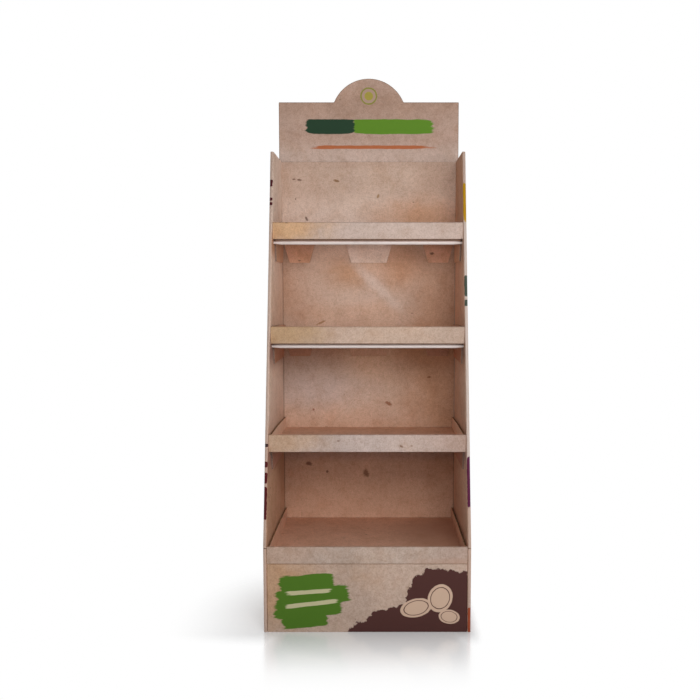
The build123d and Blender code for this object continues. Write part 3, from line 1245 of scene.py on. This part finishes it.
@dataclass
class Shelf:
    """One tray with the support and the bar below it, where it has them.

    Attributes:
        name: Level name at the start of its nodes' names.
        palette: Finishes shared by the sheets.
        paper: Ground colour of its print.
        floor: Colour of the tray's floor and flanges.
        stains: Stains on the lip.
        lining: Ground colour of the support's print, set per level as painted light and shade, pale at the
            top and dark lower down.
        middle_flap: Colour of the support's middle flap, set per level as painted light and shade in the
            same way.
        marks: Inks over the tray's print.
        flap_marks: Inks over the support's print.
        has_support: Whether a support sheet lies under the tray.
        has_bar: Whether a steel bar lies under the tray.
        board_mm: Thickness of the board.
        lip_mm: Thickness of the rolled lip.
        lip_height_mm: Height of the lip.
        flange_gap_mm: Distance of the flanges from the tray's sides.
        flange_front_mm: Height of a flange at the lip.
        flange_back_mm: Its height at the rear.
        flange_crown_mm: How far its top bulges.
        near_mm: How near to its piece's outline an end face lies.
        foot: Height of the tray's underside.
        front: Y of the lip's face.
        rear: Y of the tray's rear edge.
        half: Half the tray's width.
    """

    name: str
    palette: Palette
    paper: str
    floor: str
    stains: tuple[LipStain, ...]
    lining: str = WALL_PAPER
    middle_flap: str = WALL_PAPER
    marks: tuple[Layer, ...] = ()
    flap_marks: tuple[Layer, ...] = ()
    has_support: bool = True
    has_bar: bool = True
    board_mm: float = BOARD_MM
    lip_mm: float = 7.6
    lip_height_mm: float = 42.0
    flange_gap_mm: float = 2.5
    flange_front_mm: float = 41.0
    flange_back_mm: float = 33.0
    flange_crown_mm: float = 2.5
    near_mm: float = 1.0
    foot: float = field(init=False)
    front: float = field(init=False)
    rear: float = field(init=False)
    half: float = field(init=False)

    def __post_init__(self) -> None:
        """Take the tray's place from the frame."""
        low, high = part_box(f"{self.name}_tray")
        self.foot, self.front = low.z, low.y
        self.rear, self.half = high.y, high.x

    def build(self, steel: Material) -> None:
        """Dress the shelf's pieces.

        Args:
            steel: Finish of the bar.
        """
        tray_board = f"printed_{self.name}_tray_board"
        printed = PrintedBoard(tray_board, self.paper, self._tray_washes(), self.marks)
        finishes = self.palette.around(printed.build())
        dressed_sheet(f"{self.name}_tray", finishes, self._tray_face, open_edges=True)
        self._flutes()
        if self.has_support:
            support_board = f"printed_{self.name}_support_board"
            lined = PrintedBoard(support_board, self.lining, self._flap_washes(), self.flap_marks)
            finishes = self.palette.around(lined.build())
            finishes[FaceKind.CUT] = self.palette.pale_cut
            # The front edges take the painted-shade finish.
            finishes[FaceKind.HOLLOW] = self.palette.shaded
            dressed_sheet(f"{self.name}_support", finishes, self._support_face)
        if self.has_bar:
            bar = merged_copy(f"{self.name}_bar")
            bar.data.materials.append(steel)
            bpy.ops.object.shade_smooth_by_angle(angle=SMOOTH_ANGLE)
            log.info("dressed %s", bar.name)

    def _flutes(self) -> None:
        """Wave the core along the tops of the two flanges."""
        steps = 16
        short_mm = 1
        start = self.front / MM + self.lip_mm + short_mm
        end = self.rear / MM - short_mm
        foot = self.foot / MM
        x = self.half / MM - self.flange_gap_mm - self.board_mm / 2
        shares = [step / steps for step in range(steps + 1)]
        front, back, crown = self.flange_front_mm, self.flange_back_mm, self.flange_crown_mm
        crest = [foot + front * (1 - t) + back * t + crown * 4 * t * (1 - t) for t in shares]
        for side, label in SIDES:
            run = [(side * x, start + (end - start) * t, z) for t, z in zip(shares, crest)]
            Fluting(f"{self.name}_{label}_flange_flutes", self.palette.flute, run, (-1, 0, 0)).build()

    def _flap_washes(self) -> tuple[Layer, ...]:
        """Another tone on the support's middle flap and on its side flaps, and painted shade along their
        folds under the tray.

        Returns:
            The washes, lowest first.
        """
        foot_mm = self.foot / MM
        middle = (0, self.rear / MM, foot_mm - 28)
        paler = tinted(self.lining, 1.2)
        sides = tuple(
            InkField(paler, (0, 0, foot_mm), (FAR, FAR, FAR), facing=(side, 0, 0)) for side, _ in SIDES
        )
        return sides + (
            InkField(self.middle_flap, middle, (80, 20, 42), edge=0.2, ragged_mm=30, blur=0.35),
            # Painted shade: a darker band along the folds, just under the tray.
            InkField("5E351E", (0, 0, foot_mm - 5), (FAR, FAR, 12), edge=0.0, blur=0.8, share=0.2),
        )

    def _tray_washes(self) -> tuple[Layer, ...]:
        """Stains on the lip, a paler middle, and a warmer floor between the flanges.

        Returns:
            The washes, lowest first.
        """
        lip_z = self.foot / MM + self.lip_height_mm / 2
        lip_y = self.front / MM
        floor_y = (lip_y + self.lip_mm + self.rear / MM) / 2
        floor_half = (400, self.rear / MM - floor_y, 80)
        soft = {"edge": 0.6, "ragged_mm": 45, "blur": 0.6}
        crisp = {"edge": 0.05, "ragged_mm": 50, "blur": 0.03, "shape": InkShape.BAR}
        stains = tuple(
            InkField(s.colour, (s.x_mm, lip_y, lip_z + 9), (s.reach_mm, 9, 44), share=s.share, **soft)
            for s in self.stains
        )
        return stains + (
            InkField(tinted(self.paper, 1.08), (60, lip_y, lip_z + 6), (120, 9, 40), share=0.5, **soft),
            InkField(self.floor, (0, floor_y, lip_z), floor_half, share=0.9, **crisp),
        )

    def _tray_face(self, centre: Vector, normal: Vector) -> FaceKind:
        """Sort a face of the tray: cut ends and flange tops, bare underside, printed elsewhere.

        Args:
            centre: Middle of the face.
            normal: Its normal.

        Returns:
            The face's kind.
        """
        near = self.near_mm * MM
        slack_mm = 0.2
        flange_zone_mm = 8
        flange_foot_mm = 20
        behind_lip = centre.y > self.front + (self.lip_mm + slack_mm) * MM
        at_side = abs(centre.x) > self.half - flange_zone_mm * MM
        raised = centre.z > self.foot + flange_foot_mm * MM
        flange_top = behind_lip and at_side and raised and normal.z > MOSTLY_ON
        side_end = abs(normal.x) > SQUARE_ON and abs(centre.x) > self.half - near
        rear_end = normal.y > SQUARE_ON and centre.y > self.rear - near
        if flange_top or side_end or rear_end:
            return FaceKind.CUT
        return FaceKind.BARE if normal.z < -SQUARE_ON else FaceKind.PRINTED

    def _support_face(self, centre: Vector, normal: Vector) -> FaceKind:
        """Sort a face of the support: front edges, bare top, cut flap ends, printed elsewhere.

        Args:
            centre: Middle of the face.
            normal: Its normal.

        Returns:
            The face's kind.
        """
        low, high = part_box(f"{self.name}_support")
        fold = (self.board_mm + self.near_mm) * MM
        on_side_flap = abs(centre.x) > high.x - fold
        if normal.y < -PARTLY_ON and (on_side_flap or centre.y < low.y + self.near_mm * MM):
            return FaceKind.HOLLOW
        if normal.z > SQUARE_ON:
            return FaceKind.BARE
        flap_end = normal.z < -SLIGHTLY_ON and centre.z < high.z - fold
        return FaceKind.CUT if flap_end and not on_side_flap else FaceKind.PRINTED


@dataclass
class Base:
    """The printed base front and the plain ribs behind it.

    Attributes:
        palette: Finishes shared by the sheets.
        front_mm: Y of the base's face.
        fold_mm: Depth of its folded edges.
        foot_mm: Height below which a face is part of its foot.
    """

    palette: Palette
    front_mm: float = -197.6
    fold_mm: float = 3.2
    foot_mm: float = 1.0

    def build(self) -> None:
        """Dress the base front and the ribs."""
        rubbed = {"edge": 0.5, "ragged_mm": 40, "blur": 0.6, "share": 0.6}
        ochre = InkField(OCHRE, (-250, 0, 110), (130, FAR, 90), **rubbed)
        printed = PrintedBoard("printed_base_board", "B69F90", (ochre,), self._front_print()).build()
        finishes = self.palette.around(printed)
        dressed_sheet("base_front", finishes, self._front_face)
        for name in ("base_cross_rib", "base_left_rib", "base_right_rib"):
            dressed_sheet(name, self.palette.around(self.palette.kraft), self._rib_face)

    def _front_print(self) -> tuple[Layer, ...]:
        """Green brush patch with two pale strokes, and a brown wave with pale pebbles.

        Returns:
            The fields, lowest first.
        """
        green = "4A6E1E"
        brown = "4A2B27"
        cream = "C9AB95"
        sweep = {"edge": 0.26, "ragged_mm": 8, "blur": 0.05, "shape": InkShape.BAR, "stretch": 8}
        line = {"edge": 0.5, "ragged_mm": 9, "blur": 0.1, "share": 0.9, "shape": InkShape.BAR, "stretch": 7}
        rounded = {"edge": 0.06, "ragged_mm": 14}
        patch = tuple(
            InkField(green, (x, 0, z), (reach, FAR, 21), (0, -5, 0), **sweep)
            for x, z, reach in ((-146, 122, 66), (-132, 90, 88), (-142, 58, 80), (-150, 32, 54))
        )
        strokes = tuple(
            InkField("C6BD98", (x, 0, z), (reach, FAR, 5), (0, turn, 0), **line)
            for x, z, reach, turn in ((-140, 99, 52, -4), (-134, 70, 62, -7))
        )
        wave = (
            InkField(brown, (128, 0, 14), (182, FAR, 58), (0, -8, 0), edge=0.3, ragged_mm=30),
            InkField(brown, (186, 0, 90), (92, FAR, 70), edge=0.3, ragged_mm=24),
        )
        pebbles = tuple(
            InkField(ink, (x, 0, z), tuple(size * share for size in half), (0, turn, 0), **rounded)
            for x, z, half, turn in (
                (118, 60, (40, FAR, 23), -14),
                (176, 84, (30, FAR, 36), 20),
                (198, 38, (26, FAR, 18), 8),
            )
            for ink, share in ((cream, 1.0), (brown, 0.8), (cream, 0.74))
        )
        return patch + strokes + wave + pebbles

    def _front_face(self, centre: Vector, normal: Vector) -> FaceKind:
        """Sort a face of the base front: printed face, cut foot, bare elsewhere.

        Args:
            centre: Middle of the face.
            normal: Its normal.

        Returns:
            The face's kind.
        """
        if centre.y < (self.front_mm + self.fold_mm) * MM and normal.y < -BARELY_ON:
            return FaceKind.PRINTED
        if normal.z < -SQUARE_ON and centre.z < self.foot_mm * MM:
            return FaceKind.CUT
        return FaceKind.BARE

    def _rib_face(self, centre: Vector, normal: Vector) -> FaceKind:
        """Sort a face of a rib: cut along its top and foot, bare elsewhere."""
        return FaceKind.CUT if abs(normal.z) > SQUARE_ON else FaceKind.BARE


@dataclass(frozen=True)
class Fade:
    """A box on the floor with a soft surround, each side with its own rate.

    Attributes:
        low: Left and front side, in metres.
        high: Right and rear side, in metres.
        low_rate: How fast the surround fades to the left and to the front.
        high_rate: How fast it fades to the right and to the rear.
    """

    low: Triple
    high: Triple
    low_rate: Triple
    high_rate: Triple

    def away(self, tree: NodeTree, place: NodeSocket) -> NodeSocket:
        """Measure how far a point lies outside the box.

        Args:
            tree: Node tree of the floor.
            place: Object coordinates.

        Returns:
            The distance's socket, each side's distance multiplied by its rate.
        """
        outside = []
        for side, rate, sign in ((self.low, self.low_rate, -1), (self.high, self.high_rate, 1)):
            scale = [sign * r for r in rate]
            start = [-sign * r * s for r, s in zip(rate, side)]
            beyond = add_node(tree, "VectorMath", {0: place, 1: scale, 2: start}, operation="MULTIPLY_ADD")
            kept = {0: beyond.outputs[0], 1: (0, 0, 0)}
            outside.append(add_node(tree, "VectorMath", kept, operation="MAXIMUM").outputs[0])
        total = add_node(tree, "VectorMath", {0: outside[0], 1: outside[1]}, operation="ADD").outputs[0]
        return add_node(tree, "VectorMath", {0: total}, operation="LENGTH").outputs["Value"]


@dataclass(frozen=True)
class Lamp:
    """One soft square lamp.

    Attributes:
        name: Its name.
        place: Where it hangs.
        size: Side of its face.
        watts: Its power.
    """

    name: str
    place: Triple
    size: float
    watts: float

    def hang(self, aim: Triple) -> None:
        """Hang the lamp.

        Args:
            aim: Point that it shines on.
        """
        light = bpy.data.lights.new(self.name, "AREA")
        light.size = self.size
        light.energy = self.watts
        lamp = bpy.data.objects.new(self.name, light)
        lamp.location = self.place
        lamp.visible_camera = False
        beam = Vector(aim) - Vector(self.place)
        lamp.rotation_euler = beam.to_track_quat("-Z", "Y").to_euler()
        bpy.context.scene.collection.objects.link(lamp)


@dataclass
class Stage:
    """Pale floor, white surround, soft studio light and the camera at the photograph's angle.

    Attributes:
        camera_place: Where the camera stands.
        pitch_deg: How far it looks down.
        lens_mm: Its focal length.
        sensor_mm: Width of its sensor.
        frame_shift: Sideways shift of the frame, as the photograph's framing needs.
        floor_radius: Radius of the floor.
        floor_sides: Sides of the floor's outline.
        ambient: Strength of the surround as light.
        aim: Point that the lamps shine on.
        lamps: The lamps.
        mirror: Where the floor mirrors the stand.
        mirror_share: Strength of the mirroring next to the stand.
        mirror_reach: Distance at which it ends.
        reflection: Where the floor shows the stand's own tone.
        shadow: Where it shows the stand's shadow.
        white_span: Distances at which the floor starts to turn white and is white.
    """

    camera_place: Triple = (0.0291, -2.1366, 0.8378)
    pitch_deg: float = 4.516
    lens_mm: float = 42.475
    sensor_mm: float = 36.0
    frame_shift: float = -0.0418
    floor_radius: float = 9.0
    floor_sides: int = 96
    ambient: float = 0.15
    aim: Triple = (0.0, 0.0, 0.95)
    lamps: tuple[Lamp, ...] = (
        Lamp("key", (0.8, -1.2, 0.92), 0.8, 4.8),
        Lamp("front", (0.0, -1.2, 0.92), 0.8, 2.6),
        Lamp("high", (0.45, -2.0, 1.5), 0.6, 13.3),
        Lamp("fill", (-0.5, -1.9, 1.1), 0.6, 3.2),
        Lamp("rear_left", (-1.7, 1.7, 1.3), 1.0, 14.0),
        Lamp("rear_right", (1.7, 1.7, 1.3), 1.0, 14.0),
    )
    mirror: Fade = Fade((-0.25, -0.2, 0.0), (0.25, 0.2, 0.0), (1, 1, 0), (1, 1, 0))
    mirror_share: float = 0.32
    mirror_reach: float = 0.3
    reflection: Fade = Fade((-0.205, -0.2, 0.0), (0.205, 0.2, 0.0), (6.5, 1.3, 0), (6.5, 1, 0))
    shadow: Fade = Fade((-0.2, -0.2, 0.0), (0.25, -0.107, 0.0), (1, 3.5, 0), (10, 0.7, 0))
    white_span: tuple[float, float] = (-0.06, 0.3)

    def build(self) -> None:
        """Set up everything that isn't part of the stand."""
        self._camera()
        self._floor()
        self._world()
        for lamp in self.lamps:
            lamp.hang(self.aim)
        bpy.context.scene.view_settings.view_transform = "Standard"

    def _camera(self) -> None:
        """Place the camera."""
        lens = bpy.data.cameras.new("photo_camera")
        lens.lens = self.lens_mm
        lens.sensor_width = self.sensor_mm
        lens.shift_x = self.frame_shift
        camera = bpy.data.objects.new("photo_camera", lens)
        camera.location = self.camera_place
        camera.rotation_euler = (math.radians(90 - self.pitch_deg), 0, 0)
        bpy.context.scene.collection.objects.link(camera)
        bpy.context.scene.camera = camera

    def _seen_directly(self, tree: NodeTree) -> NodeSocket:
        """Tell the rays that show a surface from those that light one.

        Args:
            tree: Node tree that asks.

        Returns:
            A socket that is 1 for camera, glossy and transmission rays.
        """
        path = add_node(tree, "LightPath")
        seen = path.outputs["Is Camera Ray"]
        for ray in ("Is Glossy Ray", "Is Transmission Ray"):
            seen = add_node(tree, "Math", {0: seen, 1: path.outputs[ray]}, operation="MAXIMUM").outputs[0]
        return seen

    def _floor(self) -> None:
        """Lay a pale floor that fades to white away from the stand."""
        bpy.ops.object.select_all(action="DESELECT")
        outline = {"vertices": self.floor_sides, "radius": self.floor_radius}
        bpy.ops.mesh.primitive_circle_add(fill_type="NGON", **outline)
        floor = bpy.context.active_object
        floor.name = "studio_floor"
        floor.data.materials.append(self._laminate())

    def _laminate(self) -> Material:
        """Make the floor's finish.

        Returns:
            The white laminate.
        """
        # The eye gets a clean pale sheet that mirrors the stand's foot and keeps its shadow
        material, tree, place = new_material("white_gloss_laminate")
        both = {0: self.reflection.away(tree, place), 1: self.shadow.away(tree, place)}
        away = add_node(tree, "Math", both, operation="MINIMUM").outputs[0]
        start, full = self.white_span
        far = add_node(tree, "MapRange", {"Value": away, "From Min": start, "From Max": full}, **SMOOTH)
        seen_far = {0: self._seen_directly(tree), 1: far.outputs[0]}
        white_share = add_node(tree, "Math", seen_far, operation="MULTIPLY").outputs[0]
        sheet = {"Base Color": (0.94, 0.955, 0.97, 1), "Roughness": 0.22, "IOR": 2.0}
        lit = add_node(tree, "BsdfPrincipled", sheet).outputs[0]
        white = add_node(tree, "Emission", {"Color": (1, 1, 1, 1), "Strength": 1.0}).outputs[0]
        polish = {"Base Color": (1, 1, 1, 1), "Metallic": 1.0, "Roughness": 0.17}
        mirrored = add_node(tree, "BsdfPrincipled", polish).outputs[0]
        near = {"Value": self.mirror.away(tree, place), "From Max": self.mirror_reach}
        strength = {"To Min": self.mirror_share, "To Max": 0.0}
        gloss = add_node(tree, "MapRange", {**near, **strength}, **SMOOTH).outputs[0]
        bright = add_node(tree, "MixShader", {0: gloss, 1: white, 2: mirrored}).outputs[0]
        surface = add_node(tree, "MixShader", {0: white_share, 1: lit, 2: bright}).outputs[0]
        add_node(tree, "OutputMaterial", {"Surface": surface})
        return material

    def _world(self) -> None:
        """Surround the stand with white for the eye and softer light for its surfaces."""
        world = bpy.data.worlds.new("studio")
        bpy.context.scene.world = world
        world.use_nodes = True
        tree = world.node_tree
        tree.nodes.clear()
        strength = {"Value": self._seen_directly(tree), "To Min": self.ambient, "To Max": 1.0}
        level = add_node(tree, "MapRange", strength).outputs[0]
        light = add_node(tree, "Background", {"Color": (1, 1, 1, 1), "Strength": level}).outputs[0]
        add_node(tree, "OutputWorld", {"Surface": light})


def make_shelves(palette: Palette) -> tuple[Shelf, ...]:
    """Describe the four shelves.

    Args:
        palette: Finishes shared by the sheets.

    Returns:
        The shelves from the bottom one up.
    """
    worn = {"edge": 0.3, "ragged_mm": 40, "blur": 0.7, "share": 0.7}
    # The supports' linings and middle flaps grow darker from the top level down, as painted light and shade.
    bottom = Shelf(
        "bottom",
        palette,
        paper="B3A094",
        floor="EABA9E",
        stains=(LipStain("C0A08C", -245, 0.6), LipStain("AE9486", 225, 0.7, 100)),
        marks=(InkField("B98C74", (200, 0, 172), (110, 190, 12), **worn),),
        has_support=False,
        has_bar=False,
    )
    lower = Shelf(
        "lower",
        palette,
        paper="B5A39B",
        floor="F0CAB0",
        stains=(LipStain("C2A288", -245, 0.9), LipStain("AE9284", 225, 0.8, 100)),
        lining="AF8472",
        middle_flap="AF8472",
        marks=(
            fleck("6E4A30", (83, -140, 443.5), (5, 6, 2.2), 25),
            fleck("7A5A44", (108, -140, 444.5), (3, 6, 1.8)),
        ),
        has_bar=False,
    )
    middle = Shelf(
        "middle",
        palette,
        paper="B59D8D",
        floor="D8AE94",
        stains=(LipStain("BE9C78", -245, 0.9),),
        lining="B6846B",
        middle_flap="CEA186",
    )
    top = Shelf(
        "top",
        palette,
        paper="BFAA9F",
        floor="D8AE94",
        stains=(LipStain("D4AA82", -245, 0.95),),
        lining="E0AE92",
        middle_flap="FFE6D6",
        flap_marks=(fleck("4A2810", (177, 188, 925), (6, 5, 3.5), 10),),
    )
    return bottom, lower, middle, top


def main() -> None:
    """Dress the stand piece by piece and set the stage."""
    logging.basicConfig(level=logging.INFO, format="%(message)s")
    palette = Palette(
        kraft=KraftLiner().build(),
        cut=CutEdge().build(),
        # The core paper is darker than the fluting paper: painted shade in the sunk core.
        hollow=CutEdge("core_paper_in_painted_shade", "775A45", "5C4433").build(),
        pale_cut=CutEdge("dusted_paper_edge", "BF9F88", "A5856E").build(),
        # Painted shade: a dark paper on the supports' front edges for the shade under the lips.
        shaded=CutEdge("painted_shade_paper_edge", "8E766A", "725E54").build(),
        flute=CutEdge("fluting_paper", "A07C5A", "856547").build(),
    )
    steel = PowderCoat().build()
    Body(palette).build()
    Base(palette).build()
    for shelf in make_shelves(palette):
        shelf.build(steel)
    Stage().build()


if __name__ == "__main__":
    main()
